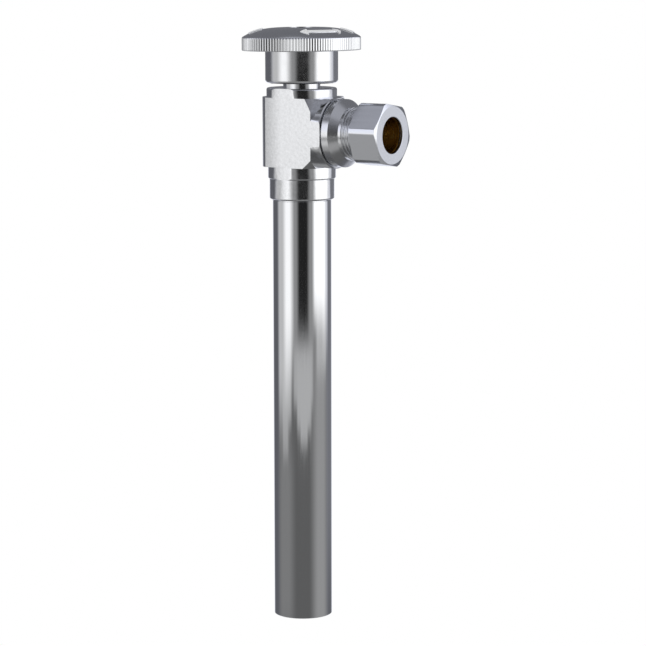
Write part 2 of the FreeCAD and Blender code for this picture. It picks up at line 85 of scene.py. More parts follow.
# Places that the CAD pieces give, in millimetres
TUBE_R = edge_of("extension_tube", 0, True)
TUBE_TOP_Z = edge_of("extension_tube", 2, True)
BRANCH_END_X = edge_of("body", 0, True)
BODY_TOP_Z = edge_of("body", 2, True)
NUT_START_X = edge_of("compression_nut", 0, False)
NUT_END_X = edge_of("compression_nut", 0, True)
ADAPTER_NOSE_X = edge_of("outlet_adapter", 0, False)
THREAD_END_X = edge_of("outlet_adapter", 0, True)
ADAPTER_FLANGE_R = edge_of("outlet_adapter", 1, True)
FERRULE_NOSE_X = edge_of("ferrule", 0, False)
FERRULE_TAIL_X = edge_of("ferrule", 0, True)
FERRULE_R = edge_of("ferrule", 1, True)
OUTLET_Z = (edge_of("ferrule", 2, False) + edge_of("ferrule", 2, True)) / 2

# Inlet tube, in millimetres as all that follows; a ROUND is the radius of a rounded edge
TUBE_WALL = 0.71
TUBE_SIZED_R = 7.7
TUBE_SIZED_Z = 114.6
TUBE_BORE_ROUND = 0.2
TUBE_FOOT_ROUND = 0.12
TUBE_STEP_ROUND = 0.05
TUBE_COLUMNS = 192

# Body: the sharpest angle, in degrees, that its shading smooths over
BODY_SMOOTH_ANGLE = 28

# Outlet adapter
OUTLET_BORE_R = 4.8125
ADAPTER_WAY_R = 3.2
SPIGOT_R = 7.3
SEAL_GROOVE_DEPTH = 1.1
SEAL_GROOVE_WIDTH = 1.3
SEAL_SETBACK = 1.2
FLANGE_GAP_R = 8.2
FLANGE_GAP_LENGTH = 0.4
FLANGE_LENGTH = 2.2
FLANGE_BACK_ROUND = 0.25
CONE_LENGTH = 2.0
SHOULDER_ROUND = 0.1
SOCKET_DEPTH = 7.0
MOUTH_RISE = 1.1
MOUTH_LENGTH = 1.8
MOUTH_ROUND = 0.05
ADAPTER_COLUMNS = 180

# The adapter's thread: THREAD_FLANK and THREAD_CREST cut a triangle wave to flanks, crest and root
THREAD_R = 7.14
THREAD_LAND = 0.8
THREAD_RUN_IN = 0.3
THREAD_END_LAND = 0.2
THREAD_RUN_OUT = 0.4
THREAD_MARGIN = 0.15
THREAD_FLANK = 1.52
THREAD_CREST = 0.35
THREAD_ROWS_PER_TURN = 16

# Compression nut
NUT_ACROSS_FLATS = 15.875
NUT_CORNER_R = 8.8
NUT_FIRST_FLAT = 210.0
NUT_RAISED_ANGLE = 9.0
NUT_FACE_R = 7.65
NUT_CHAMFER_ANGLE = 15.0
NUT_BACK_R = 8.3
NUT_BACK_ANGLE = 30.0
NUT_BACK_LEAST = 0.08
NUT_BORE_R = 7.2
NUT_LIP = 0.9
NUT_CONE_RISE = 1.1
NUT_BORE_ROUND = 0.1
NUT_BACK_ROUND = 0.02
NUT_CHAMFER_ROUND = 0.03
NUT_FACE_ROUND = 0.1
NUT_HOLE_ROUND = 0.2
NUT_LIP_ROUND = 0.05
CORNER_SHARPNESS = 6.0
FLAT_ANGLE = 21
FLAT_COLUMNS = 12
HALF_SIDE_ANGLE = 30
CORNER_COLUMNS = 19

# Ferrule
FERRULE_NOSE_RISE = 0.2
FERRULE_END_ROUND = 0.05
FERRULE_SHOULDER_ROUND = 0.1
FERRULE_COLUMNS = 96

# Handle: skirt, hub, socket and stop lug
SKIRT_Z = BODY_TOP_Z - 3.3
SKIRT_R = 9.8
SKIRT_WALL = 1.5
SKIRT_HEIGHT = 8.7
SKIRT_LIP = 0.8
SKIRT_LIP_ROWS = 7
SKIRT_MOUTH_CHAMFER = 0.1
HUB_R = 4.9
HUB_GAP = 0.5
SOCKET_SQUARE = 5.1
SOCKET_CORNER_R = 3.15
SOCKET_TOP = 6.5
LUG_REACH = 2.2
LUG_START = 150.0
LUG_ANGLE = 30.0
LUG_DROP = 0.1
LUG_ROOT = 0.3
SCREW_SEAT_DEPTH = 2.1
SCREW_POCKET_R = 3.55
SCREW_HOLE_R = 1.8

# Handle: oval head
OVAL_LONG = 16.65
OVAL_SHORT = 12.6
OVAL_ANGLE = 60.0
OVAL_FINE_POINTS = 20001
RIM_HEIGHT = 3.7
RIM_WALL = 1.5
RIM_POCKET_DEPTH = 2.3
POCKET_RIM_ROUND = 0.1
POCKET_ROUND = 0.2
POCKET_SKIRT_ROUND = 0.3
DOME_RISE = 2.45
DOME_INSET = 0.3
DOME_POWER = 4
DOME_ROOF = 2.0

# Handle: shares of the way from the screw's pocket to the dome's foot that have a row, the rows
# of the rim's upper edge, the reach of its straight rows, and its lower edge's rows as inset,
# height over the rim's foot and share of the knurl's depth
DOME_SHARES = np.concatenate([[0, 0.01], np.linspace(0.04, 1, 22)])
RIM_EDGE_ROWS = 6
RIM_ROWS = 4
RIM_ROWS_TOP = 0.7
RIM_ROWS_FOOT = 0.4
RIM_LOWER_EDGE = ((0.0, 0.16, 1.0), (0.04, 0.05, 1.0), (0.16, 0.0, 0.8))

# Handle: knurl, which is shallower round two opposite turns of the oval
KNURL_COLUMNS = 8
KNURL_SHALLOW_TURN = -75.0
KNURL_SHALLOW_SHARE = 0.35
KNURL_SHALLOW_START = 0.5
KNURL_SHALLOW_SPAN = 0.4

# Marks on the dome: bearings in degrees, places as shares of the oval's size
ARROW_BEARINGS = (-112, -52)
ARROW_POINTS = 41
ARROW_SHARE = 0.78
ARROW_HALF_WIDTH = 0.55
ARROW_HEAD_HALF = 1.5
ARROW_HEAD_LENGTH = 2.2
BAR_BEARINGS = (-34, -22, -10)
BAR_SHARES = (0.66, 0.9)
BAR_POINTS = 7
BAR_HALF_WIDTH = 0.5
BAR_TIP_LENGTH = 0.3
MARK_SHAFT_ROWS = 24
MARK_HEAD_ROWS = 8
MARK_HEAD_GAP = 0.02

# A mark's section: sideways as shares of its half width, upwards as shares of its height
MARK_SECTION = np.array([(-1.1, -0.5), (-1.0, 0.3), (-0.9, 0.9), (-0.75, 1.0),
                         (0.75, 1.0), (0.9, 0.9), (1.0, 0.3), (1.1, -0.5)])

# Camera and photograph
PHOTO_PIXELS = 646
SENSOR_MM = 36.0
CAMERA_FOCAL_PIXELS = 2531.0
CAMERA_DISTANCE = 683.0
CAMERA_HEIGHT = 180.7
CAMERA_AZIMUTH = 35.0
CAMERA_PAN = 0.47
CAMERA_PITCH = 8.32
CAMERA_ROLL = -0.11
CAMERA_NEAR_M = 0.01
CAMERA_FAR_M = 20.0

# Studio: floor, even light for matt surfaces, and the tint of what the plating mirrors from above
# and from behind, with the elevations and the bearings from the camera over which it comes in
FLOOR_HALF_M = 3.0
MATT_LIGHT = 0.9
COOL_LIGHT = (0.96, 0.98, 1.09, 1.0)
COOL_ELEVATIONS = (0.0, 14.0)
COOL_BEARINGS = (95.0, 125.0)
WHITE = (1, 1, 1, 1)

# Soft panels and dark flags that the plating mirrors. Each is given by its middle bearing from
# the camera and half width, then its lowest and highest elevation, all in degrees, the softness
# of its sides and of its lower and upper edges, and its brightness. Later ones lie over earlier
# ones, and the first one is everywhere.
STUDIO_PANELS = (
    ("room", 0, 180, -90, 90, 1, 1, 0.14),
    ("right_far_room", 135, 24, -14, 20, 14, 4, 0.22),
    ("rear_wall", 180, 62, 0, 62, 24, 6, 0.18),
    ("table", 0, 180, -46, -22, 1, 8, 0.4),
    ("left_far_table", -78, 34, -33, -17.5, 16, 5, 0.72),
    ("left_table_light", -75, 33, -15.5, -11, 40, 2, 0.255),
    ("right_table_light", 76, 32, -30, -8.2, 44, 2, 0.37),
    ("rear_light", 180, 20, -60, -4, 16, 3, 0.9),
    ("left_table_tongue", -66, 20, -10.6, -8.0, 12, 0.6, 0.5),
    ("left_table_tip", -73, 13, -11.35, -10.0, 10, 0.5, 0.42),
    ("right_table_tongue", 82, 24, -9.4, -6.0, 12, 0.8, 0.56),
    ("front_room", 0, 44, -8.8, 60, 8, 1, 0.33),
    ("left_wall", -84, 25, -10.4, 60, 18, 2.4, 0.64),
    ("left_panel", -58, 17, -9.2, 60, 24, 2.8, 1.3),
    ("right_rear_wall", 102, 16, -8.4, 60, 12, 2.2, 0.88),
    ("right_panel", 73.5, 28.5, -8.1, 60, 16, 1.4, 1.5),
    ("front_flag", 3, 21, -8.6, 60, 16, 1.0, 0.02),
    ("table_glow", 3, 39, -10.2, -8.8, 12, 0.6, 0.5),
    ("table_glow_tongue", 6, 28, -10.75, -9.0, 10, 0.4, 0.54),
    ("table_glow_tip", 5, 14, -11.1, -9.5, 10, 0.4, 0.54),
    ("upper_room", 0, 180, 31, 90, 1, 12, 0.18),
    ("right_upper_sky", 62, 40, 36, 64, 24, 12, 0.42),
    ("upper_left_sky", -100, 14, 42, 60, 14, 8, 0.46),
    ("overhead_panel", 0, 180, 74, 90, 1, 10, 0.6),
)


def linear(hex_colour):
    """An sRGB hex colour as linear red, green, blue and alpha."""
    channels = [int(hex_colour[i:i + 2], 16) / 255 for i in (1, 3, 5)]
    return [c / 12.92 if c <= 0.04045 else ((c + 0.055) / 1.055) ** 2.4 for c in channels] + [1.0]


def add_node(tree, kind, settings=(), links=()):
    """Adds a node, sets its inputs or properties by name and links other nodes' outputs to it."""
    node = tree.nodes.new(kind)
    for name, value in dict(settings).items():
        if hasattr(node, str(name)):
            setattr(node, name, value)
        else:
            node.inputs[name].default_value = value
    for name, output in dict(links).items():
        tree.links.new(output, node.inputs[name])
    return node


class ValveSizes(bpy.types.PropertyGroup):
    """The fine sizes that only the visual model has."""
    thread_pitch: bpy.props.FloatProperty(
        name="Thread pitch", description="Pitch of the outlet thread", default=1.058 * MM, min=0.2 * MM,
        precision=5, unit="LENGTH")
    thread_depth: bpy.props.FloatProperty(
        name="Thread depth", description="Depth of the outlet thread", default=0.6 * MM, precision=5,
        unit="LENGTH")
    knurl_pitch: bpy.props.FloatProperty(
        name="Knurl pitch", description="Distance between the rim's ridges", default=0.75 * MM,
        min=0.2 * MM, precision=5, unit="LENGTH")
    knurl_depth: bpy.props.FloatProperty(
        name="Knurl depth", description="Depth of the rim's deepest ridges", default=0.18 * MM,
        precision=5, unit="LENGTH")
    edge_round: bpy.props.FloatProperty(
        name="Edge round", description="Radius of the nut's turned corners", default=0.15 * MM,
        min=0.01 * MM, precision=5, unit="LENGTH")
    mark_height: bpy.props.FloatProperty(
        name="Mark height", description="How far the handle's marks stand up", default=0.3 * MM,
        precision=5, unit="LENGTH")


class ValveColours(bpy.types.PropertyGroup):
    """The colours of the finishes."""
    chrome: bpy.props.FloatVectorProperty(
        name="Chrome", description="Decorative chrome plate", subtype="COLOR", size=4,
        default=linear("#DEDFE1"))
    nut: bpy.props.FloatVectorProperty(
        name="Nut plate", description="Satin plate of the nut", subtype="COLOR", size=4,
        default=linear("#DADCE0"))
    # The marks' white: plated on their sides, and matt on their upward tops as a painted highlight
    marks: bpy.props.FloatVectorProperty(
        name="Marks", description="Whitened metal of the raised marks", subtype="COLOR", size=4,
        default=linear("#F0F1F3"))
    brass: bpy.props.FloatVectorProperty(
        name="Brass", description="Turned brass", subtype="COLOR", size=4,
        default=linear("#B98A3A"))
    steel: bpy.props.FloatVectorProperty(
        name="Screw steel", description="Zinc-plated steel", subtype="COLOR", size=4,
        default=linear("#C4C6CA"))
    plastic: bpy.props.FloatVectorProperty(
        name="Seat plastic", description="White fluoroplastic", subtype="COLOR", size=4,
        default=linear("#EDEDE8"))
    rubber: bpy.props.FloatVectorProperty(
        name="Seal rubber", description="Black nitrile rubber", subtype="COLOR", size=4,
        default=linear("#1A1A1B"))
    floor: bpy.props.FloatVectorProperty(
        name="Floor", description="Pale studio floor", subtype="COLOR", size=4,
        default=linear("#F4F4F4"))


def size_in_mm(name):
    """One of the scene's own size settings, in millimetres."""
    return getattr(bpy.context.scene.valve_sizes, name) / MM


def colour_of(name):
    """One of the scene's own colour settings."""
    return getattr(bpy.context.scene.valve_colours, name)


def outline(*corners):
    """(radius, distance, round) corners as an array of places with one column, and the rounds."""
    table = np.array(corners, float)
    return table[:, None, :2], table[:, 2]


def rounded_path(corners, rounds, steps=4):
    """Rounds the corners of closed outlines.

    corners is an array (corner, column, 2). At each corner two tangent points lie
    radius / tan(half the corner's angle) along its two sides, and the points between
    follow the circle through them: the circle's centre on the corner's bisector, plus the
    way to the first tangent point turned by equal steps. A radius of 0 keeps the sharp corner.
    """
    rows = []
    for i, radius in enumerate(rounds):
        here = corners[i]
        if radius <= 0:
            rows.append(here[None])
            continue
        back = corners[i - 1] - here
        ahead = corners[(i + 1) % len(corners)] - here
        back = back / np.linalg.norm(back, axis=-1, keepdims=True)
        ahead = ahead / np.linalg.norm(ahead, axis=-1, keepdims=True)
        angle = np.arccos(np.clip((back * ahead).sum(-1), -1, 1))[:, None]
        middle = back + ahead
        middle = middle / np.linalg.norm(middle, axis=-1, keepdims=True)
        centre = here + middle * radius / np.sin(angle / 2)
        start = here + back * radius / np.tan(angle / 2) - centre
        end = here + ahead * radius / np.tan(angle / 2) - centre
        sweep = np.pi - angle
        for share in np.arange(steps + 1) / steps:
            mix = (np.sin((1 - share) * sweep) * start + np.sin(share * sweep) * end) / np.sin(sweep)
            rows.append((centre + mix)[None])
    return np.concatenate(rows)


def mesh_object(name, points, faces, material):
    """A mesh object at the origin, in metres, smooth with area-weighted normals facing outwards."""
    a, b, c, d = (points[faces[:, k]] for k in range(4))
    normal = np.cross(c - a, d - b) / 2
    volume = (normal * (a + b + c + d) / 4).sum()
    if volume < 0:
        faces = faces[:, ::-1]
        normal = -normal
    smooth = np.zeros_like(points)
    for k in range(4):
        np.add.at(smooth, faces[:, k], normal)
    smooth /= np.maximum(np.linalg.norm(smooth, axis=1, keepdims=True), TINY)
    mesh = bpy.data.meshes.new(name)
    loops = [list(dict.fromkeys(face)) for face in faces.tolist()]
    mesh.from_pydata((points * MM).tolist(), [], loops)
    mesh.shade_smooth()
    mesh.normals_split_custom_set_from_vertices(smooth.tolist())
    mesh.materials.append(material)
    piece = bpy.data.objects.new(name, mesh)
    bpy.context.scene.collection.objects.link(piece)
    return piece


def ring_faces(rows, columns, wrap_rows):
    """The four-sided faces of a grid whose columns close and whose rows may close too."""
    row = np.arange(rows if wrap_rows else rows - 1)[:, None]
    column = np.arange(columns)[None, :]
    next_row = (row + 1) % rows
    next_column = (column + 1) % columns
    grid = [row * columns + column, next_row * columns + column,
            next_row * columns + next_column, row * columns + next_column]
    return np.stack(grid, -1).reshape(-1, 4)


def closed_surface(name, rings, material):
    """A closed tube of rings: an array (ring, column, xyz) whose last ring joins the first."""
    rows, columns = rings.shape[:2]
    return mesh_object(name, rings.reshape(-1, 3), ring_faces(rows, columns, True), material)


def capped_surface(name, rings, material):
    """Rings whose first and last have shrunk to a point each."""
    rows, columns = rings.shape[:2]
    faces = ring_faces(rows, columns, False)
    last = (rows - 1) * columns
    faces = np.where(faces < columns, 0, faces)
    faces = np.where(faces >= last, last, faces)
    used, packed = np.unique(faces, return_inverse=True)
    return mesh_object(name, rings.reshape(-1, 3)[used], packed.reshape(-1, 4), material)


def turned_rings(path, columns, centre, axis):
    """Carries a path of (radius, distance) pairs round an axis.

    Each point is the centre, plus the axis times the distance, plus the radius times a
    unit direction that turns evenly round the axis. path is (row, column or 1, 2).
    """
    side = UP if axis is OUT else OUT
    other = np.cross(axis, side)
    turn = 2 * np.pi * np.arange(columns) / columns
    direction = np.cos(turn)[:, None] * side + np.sin(turn)[:, None] * other
    path = np.broadcast_to(path, (path.shape[0], columns, 2))
    return centre + path[..., 1:] * axis + path[..., :1] * direction[None]


def finish_piece(piece, body, slot, *nodes):
    """Seats a piece on its body and hides the CAD nodes that it stands for."""
    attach(piece, body)
    if nodes:
        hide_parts(*nodes)


def weld(mesh):
    """Joins a mesh's vertices that lie within a micrometre of each other."""
    work = bmesh.new()
    work.from_mesh(mesh)
    bmesh.ops.remove_doubles(work, verts=work.verts, dist=CLOSE)
    work.to_mesh(mesh)
    work.free()


def smooth_copy(node, smooth_angle, material, body, slot):
    """A copy of a CAD node with its loose triangles joined, smooth but at its sharper edges."""
    piece = frame["nodes"][node].copy()
    piece.data = frame["nodes"][node].data.copy()
    piece.name = node + "_finish"
    piece.parent = None
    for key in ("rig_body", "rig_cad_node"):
        if key in piece:
            del piece[key]
    bpy.context.scene.collection.objects.link(piece)
    mesh = piece.data
    with bpy.context.temp_override(object=piece, active_object=piece, selected_objects=[piece],
                                   selected_editable_objects=[piece]):
        if mesh.has_custom_normals:
            bpy.ops.mesh.customdata_custom_splitnormals_clear()
    weld(mesh)
    mesh.shade_smooth()
    mesh.set_sharp_from_angle(angle=math.radians(smooth_angle))
    mesh.materials.clear()
    mesh.materials.append(material)
    even = piece.modifiers.new("even_normals", "WEIGHTED_NORMAL")
    even.keep_sharp = True
    even.weight = 100
    finish_piece(piece, body, slot, node)


# Finishes of one colour: the colour setting, metal or not, the lowest and highest roughness, the
# length of the grain along X, Y and Z, and the height of its bump. The finest grains are drawn
# coarser than real ones, so that they show.
FINISHES = {
    # Bright chrome on drawn copper tube: a mirror with the faintest lines along the tube
    "polished_chrome_on_drawn_tube": ("chrome", 1.0, (0.03, 0.055), (0.5, 0.5, 30.0), 0.0004),
    # Satin chrome on drawn hexagon bar: fine lines along the bar dull it evenly
    "satin_chrome_on_hexagon_bar": ("nut", 1.0, (0.15, 0.22), (8.0, 0.35, 0.35), 0.0006),
    # Turned brass: marks across the lathe's axis spread a warm shine
    "turned_brass_ferrule": ("brass", 1.0, (0.25, 0.35), (0.4, 2.0, 2.0), 0.002),
    "turned_brass_stem": ("brass", 1.0, (0.2, 0.3), (2.0, 2.0, 0.3), 0.002),
    # Polished chrome on a turned ball: a mirror with a barely uneven skin
    "polished_plated_ball": ("chrome", 1.0, (0.05, 0.08), (1.0, 1.0, 1.0), 0.0003),
    # Zinc on a cold-headed screw: a fine crystal grain dulls it
    "zinc_plated_screw": ("steel", 1.0, (0.25, 0.35), (0.5, 0.5, 0.5), 0.002),
    # Moulded fluoroplastic: white and waxy, with a soft shine
    "moulded_fluoroplastic": ("plastic", 0.0, (0.4, 0.5), (0.6, 0.6, 0.6), 0.002),
    # Moulded nitrile rubber: black and matt
    "moulded_nitrile_rubber": ("rubber", 0.0, (0.55, 0.7), (0.4, 0.4, 0.4), 0.004),
}

# The part of a noise's range, from 0 to 1, that most of its values lie in
NOISE_RANGE = (0.3, 0.7)


def new_material(name, colour, metallic):
    """A node material with an even colour, and its tree, shader and object coordinates."""
    material = bpy.data.materials.new(name)
    material.use_nodes = True
    tree = material.node_tree
    tree.nodes.clear()
    shader = add_node(tree, "ShaderNodeBsdfPrincipled", {"Base Color": colour, "Metallic": metallic})
    add_node(tree, "ShaderNodeOutputMaterial", links={"Surface": shader.outputs["BSDF"]})
    place = add_node(tree, "ShaderNodeTexCoord")
    return material, tree, shader, place


def stretched_noise(tree, place, periods_mm, detail=3.0):
    """Noise whose grain measures periods_mm along X, Y and Z, in object coordinates."""
    scale = [1 / (period * MM) for period in periods_mm]
    spread = add_node(tree, "ShaderNodeMapping", {"Scale": scale}, {"Vector": place.outputs["Object"]})
    return add_node(tree, "ShaderNodeTexNoise", {"Scale": 1.0, "Detail": detail},
                    {"Vector": spread.outputs["Vector"]})


def vary_roughness(tree, shader, noise, roughness, noise_range=NOISE_RANGE):
    """Lets the roughness run from its lowest to its highest value as the noise runs over its range."""
    span = add_node(tree, "ShaderNodeMapRange",
                    {"From Min": noise_range[0], "From Max": noise_range[1],
                     "To Min": roughness[0], "To Max": roughness[1]}, {"Value": noise.outputs["Fac"]})
    tree.links.new(span.outputs["Result"], shader.inputs["Roughness"])


def raise_grain(tree, shader, pattern, height_mm):
    """Bumps the surface by a pattern that rises from 0 to 1 over a height."""
    bump = add_node(tree, "ShaderNodeBump", {"Strength": 1.0, "Distance": height_mm * MM},
                    {"Height": pattern.outputs["Fac"]})
    tree.links.new(bump.outputs["Normal"], shader.inputs["Normal"])


def finish(name):
    """One of the finishes of one colour: its roughness and a faint bump follow the same grain."""
    colour, metallic, roughness, grain_mm, bump_mm = FINISHES[name]
    material, tree, shader, place = new_material(name, colour_of(colour), metallic)
    noise = stretched_noise(tree, place, grain_mm)
    vary_roughness(tree, shader, noise, roughness)
    raise_grain(tree, shader, noise, bump_mm)
    return material


def turned_chrome(name, roughness, feed_mm, depth_mm, axis):
    """Chrome with the faintest rings a feed apart round an axis, and a soft sheen that varies.

    A wave texture has 20 radians to a unit, so that its scale is the full circle over 20 feeds.
    The feed is drawn coarser than a real one.
    """
    material, tree, shader, place = new_material(name, colour_of("chrome"), 1.0)
    rings = add_node(tree, "ShaderNodeTexWave",
                     {"wave_type": "BANDS", "bands_direction": axis,
                      "Scale": math.tau / 20 / (feed_mm * MM),
                      "Distortion": 0.6, "Detail": 2.0, "Detail Scale": 1.0},
                     {"Vector": place.outputs["Object"]})
    vary_roughness(tree, shader, stretched_noise(tree, place, (2.0, 2.0, 2.0)), roughness)
    raise_grain(tree, shader, rings, depth_mm)
    return material


# The forging's chrome: how far, as the size of the normal's Y, a face counts as a milled flat, the
# roughness of turned faces and of flats and its spread, the flats' grain in millimetres, the share
# by which it lightens and darkens them, its height, and what a turned face shows of it
FLAT_FACING = {"From Min": 0.985, "From Max": 0.998}
FORGING_ROUGHNESS = {"To Min": 0.1, "To Max": 0.19}
FORGING_SPREAD = {"To Min": 0.85, "To Max": 1.2}
FLAT_GRAIN = (0.9, 0.9, 0.9)
FLAT_GRAIN_DETAIL = 4.0
FLAT_TONE_SHARE = 0.07
FLAT_GRAIN_HEIGHT = 0.02
TURNED_GRAIN_SHARE = {"To Min": 0.05}

# The edge that the flats roll off to, away from the outlet: place, length and drop
ROLL_EDGE_X = -5.8
ROLL_LENGTH = 5.0
ROLL_DROP = 0.3


def forged_chrome():
    """Bright chrome on a machined forging: its milled flats stay satin and faintly mottled.

    The flats are polished over toward the edge away from the outlet, so that they roll off
    there by the square of the distance. Faces turned on the lathe, which don't face along Y,
    shine and show hardly any of the relief.
    """
    plate = colour_of("chrome")
    material, tree, shader, place = new_material("chrome_on_machined_forging", plate, 1.0)
    noise = stretched_noise(tree, place, FLAT_GRAIN, FLAT_GRAIN_DETAIL)
    normal = add_node(tree, "ShaderNodeSeparateXYZ", links={"Vector": place.outputs["Normal"]})
    facing = add_node(tree, "ShaderNodeMath", {"operation": "ABSOLUTE"}, {0: normal.outputs["Y"]})

    level = add_node(tree, "ShaderNodeMapRange", {**FLAT_FACING, **FORGING_ROUGHNESS},
                     {"Value": facing.outputs[0]})
    spread = add_node(tree, "ShaderNodeMapRange", FORGING_SPREAD, {"Value": noise.outputs["Fac"]})
    rough = add_node(tree, "ShaderNodeMath", {"operation": "MULTIPLY"},
                     {0: level.outputs["Result"], 1: spread.outputs["Result"]})
    tree.links.new(rough.outputs[0], shader.inputs["Roughness"])

    darker, lighter = ([c * share for c in plate[:3]] + [1.0]
                       for share in (1 - FLAT_TONE_SHARE, 1 + FLAT_TONE_SHARE))
    grain = add_node(tree, "ShaderNodeMapRange",
                     {"From Min": NOISE_RANGE[0], "From Max": NOISE_RANGE[1]},
                     {"Value": noise.outputs["Fac"]})
    tone = add_node(tree, "ShaderNodeMix", {"data_type": "RGBA", 6: darker, 7: lighter},
                    {0: grain.outputs["Result"]})
    tree.links.new(tone.outputs[2], shader.inputs["Base Color"])

    relief = add_node(tree, "ShaderNodeMapRange", {**FLAT_FACING, **TURNED_GRAIN_SHARE},
                      {"Value": facing.outputs[0]})
    along = add_node(tree, "ShaderNodeSeparateXYZ", links={"Vector": place.outputs["Object"]})
    near = add_node(tree, "ShaderNodeMapRange",
                    {"From Min": (ROLL_EDGE_X + ROLL_LENGTH) * MM, "From Max": ROLL_EDGE_X * MM},
                    {"Value": along.outputs["X"]})
    fall = add_node(tree, "ShaderNodeMath", {"operation": "POWER", 1: 2.0}, {0: near.outputs["Result"]})
    roll = add_node(tree, "ShaderNodeBump", {"Distance": ROLL_DROP * MM, "invert": True},
                    {"Strength": relief.outputs["Result"], "Height": fall.outputs[0]})
    bump = add_node(tree, "ShaderNodeBump", {"Distance": FLAT_GRAIN_HEIGHT * MM},
                    {"Strength": relief.outputs["Result"], "Height": noise.outputs["Fac"],
                     "Normal": roll.outputs["Normal"]})
    tree.links.new(bump.outputs["Normal"], shader.inputs["Normal"])
    return material


def raised_marks():
    """Cast marks: tops that face up turn matt white as a painted highlight, between bright plated sides,
    told apart by how far they face up.
    """
    material, tree, shader, place = new_material("whitened_marks_with_plated_sides",
                                                 colour_of("marks"), 1.0)
    normal = add_node(tree, "ShaderNodeSeparateXYZ", links={"Vector": place.outputs["Normal"]})
    # Faces turned up lose their metal and show a matt white: a painted highlight on plated marks
    plated = add_node(tree, "ShaderNodeMapRange",
                      {"From Min": 0.1, "From Max": 0.35, "To Min": 1.0, "To Max": 0.1},
                      {"Value": normal.outputs["Z"]})
    tree.links.new(plated.outputs["Result"], shader.inputs["Metallic"])
    noise = stretched_noise(tree, place, (0.5, 0.5, 0.5))
    vary_roughness(tree, shader, noise, (0.25, 0.45), noise_range=(0.0, 1.0))
    raise_grain(tree, shader, noise, 0.002)
    return material


class VALVE_OT_tube(bpy.types.Operator):
    """Makes the polished inlet tube"""
    bl_idname = "valve.tube"
    bl_label = "Inlet tube"

    def execute(self, context):
        """The wall's outline of (radius, height) corners, rounded and carried round Z."""
        inner = TUBE_R - TUBE_WALL
        corners, rounds = outline(
            (inner, 0, TUBE_BORE_ROUND), (TUBE_R, 0, TUBE_FOOT_ROUND),
            (TUBE_R, TUBE_SIZED_Z, TUBE_STEP_ROUND), (TUBE_SIZED_R, TUBE_SIZED_Z, 0),
            (TUBE_SIZED_R, TUBE_TOP_Z, 0), (inner, TUBE_TOP_Z, 0))
        rings = turned_rings(rounded_path(corners, rounds), TUBE_COLUMNS, np.zeros(3), UP)
        piece = closed_surface("inlet_tube_shell", rings, finish("polished_chrome_on_drawn_tube"))
        finish_piece(piece, "valve", "polished_tube", "extension_tube")
        return {"FINISHED"}


class VALVE_OT_body(bpy.types.Operator):
    """Finishes the forged body"""
    bl_idname = "valve.body"
    bl_label = "Body"

    def execute(self, context):
        """The body's own solid, with its shading made even."""
        smooth_copy("body", BODY_SMOOTH_ANGLE, forged_chrome(), "valve", "plated_body")
        return {"FINISHED"}


